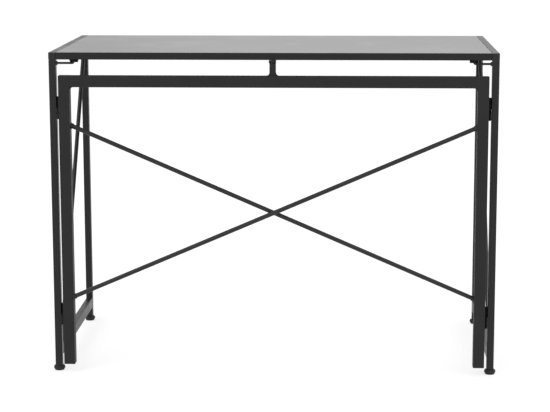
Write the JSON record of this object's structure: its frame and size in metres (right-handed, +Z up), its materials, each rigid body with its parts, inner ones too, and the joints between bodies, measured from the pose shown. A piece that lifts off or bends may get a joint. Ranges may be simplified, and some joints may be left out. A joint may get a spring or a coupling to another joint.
{
  "type": "folding desk",
  "caption": "Folding desk: flat grey top on a hinged black steel frame, with a cross-braced back and side frames that fold in.",
  "frame": {"origin": "centre of the desk's footprint on the floor, halfway between the outermost points in width and depth", "axes": "+Z up, +X to the right as seen from the braced back, +Y from the braced back to the sitting side"},
  "size_m": [1.01, 0.4975, 0.73],
  "materials": {
    "frame_paint": "satin black powder coat",
    "rod_paint": "satin black powder coat on drawn rod",
    "panel_laminate": "smooth satin dark grey laminate with a black edge",
    "black_plastic": "moulded black plastic",
    "hinge_steel": "matte black coated steel",
    "pin_steel": "dark oiled steel",
    "screw_steel": "zinc plated steel",
    "latch_paint": "satin black coated wire"
  },
  "bodies": {
    "back_frame": {"left_upright": "frame_paint", "right_upright": "frame_paint", "crossbar": "frame_paint", "centre_post": "frame_paint", "cross_rod_near": "rod_paint", "cross_rod_far": "rod_paint", "upright_top_plugs": "black_plastic", "upright_foot_plugs": "black_plastic", "left_fixed_knuckles": "hinge_steel", "right_fixed_knuckles": "hinge_steel", "left_hinge_pins": "pin_steel", "right_hinge_pins": "pin_steel", "top_hinge_base": "hinge_steel", "top_hinge_pin": "pin_steel"},
    "left_side_frame": {"left_back_leg": "frame_paint", "left_front_leg": "frame_paint", "left_lower_rail": "frame_paint", "left_brace_rod": "rod_paint", "left_moving_knuckles": "hinge_steel", "left_leg_caps": "black_plastic", "left_leg_inserts": "black_plastic", "left_latch_bush": "hinge_steel"},
    "left_latch": {"left_latch_rod": "latch_paint"},
    "left_back_foot": {"left_back_foot_pad": "black_plastic", "left_back_foot_stud": "screw_steel"},
    "left_front_foot": {"left_front_foot_pad": "black_plastic", "left_front_foot_stud": "screw_steel"},
    "right_side_frame": {"right_back_leg": "frame_paint", "right_front_leg": "frame_paint", "right_lower_rail": "frame_paint", "right_brace_rod": "rod_paint", "right_moving_knuckles": "hinge_steel", "right_leg_caps": "black_plastic", "right_leg_inserts": "black_plastic", "right_latch_bush": "hinge_steel"},
    "right_latch": {"right_latch_rod": "latch_paint"},
    "right_back_foot": {"right_back_foot_pad": "black_plastic", "right_back_foot_stud": "screw_steel"},
    "right_front_foot": {"right_front_foot_pad": "black_plastic", "right_front_foot_stud": "screw_steel"},
    "desk_top": {"top_panel": "panel_laminate", "left_end_rail": "frame_paint", "right_end_rail": "frame_paint", "rail_caps": "black_plastic", "rail_screws": "screw_steel", "top_hinge_leaf": "hinge_steel", "top_hinge_screws": "screw_steel", "left_keeper": "black_plastic", "right_keeper": "black_plastic", "keeper_screws": "screw_steel"}
  },
  "joints": [
    {"name": "left_side_fold", "type": "hinge", "parent": "back_frame", "child": "left_side_frame", "pos_m": [-0.4805, -0.22625, 0.369], "axis": [0, 0, 1], "range_deg": [-90, 0]},
    {"name": "left_latch_turn", "type": "hinge", "parent": "left_side_frame", "child": "left_latch", "pos_m": [-0.4823, -0.22625, 0.706], "axis": [1, 0, 0], "range_deg": [0, 180]},
    {"name": "left_back_foot_level", "type": "slide", "parent": "left_side_frame", "child": "left_back_foot", "axis": [0, 0, -1], "range_m": [0, 0.01]},
    {"name": "left_front_foot_level", "type": "slide", "parent": "left_side_frame", "child": "left_front_foot", "axis": [0, 0, -1], "range_m": [0, 0.01]},
    {"name": "right_side_fold", "type": "hinge", "parent": "back_frame", "child": "right_side_frame", "pos_m": [0.4805, -0.22625, 0.369], "axis": [0, 0, 1], "range_deg": [0, 90]},
    {"name": "right_latch_turn", "type": "hinge", "parent": "right_side_frame", "child": "right_latch", "pos_m": [0.4823, -0.22625, 0.706], "axis": [1, 0, 0], "range_deg": [0, 180]},
    {"name": "right_back_foot_level", "type": "slide", "parent": "right_side_frame", "child": "right_back_foot", "axis": [0, 0, -1], "range_m": [0, 0.01]},
    {"name": "right_front_foot_level", "type": "slide", "parent": "right_side_frame", "child": "right_front_foot", "axis": [0, 0, -1], "range_m": [0, 0.01]},
    {"name": "top_tilt", "type": "hinge", "parent": "back_frame", "child": "desk_top", "pos_m": [0, -0.23525, 0.7105], "axis": [1, 0, 0], "range_deg": [0, 90]}
  ]
}
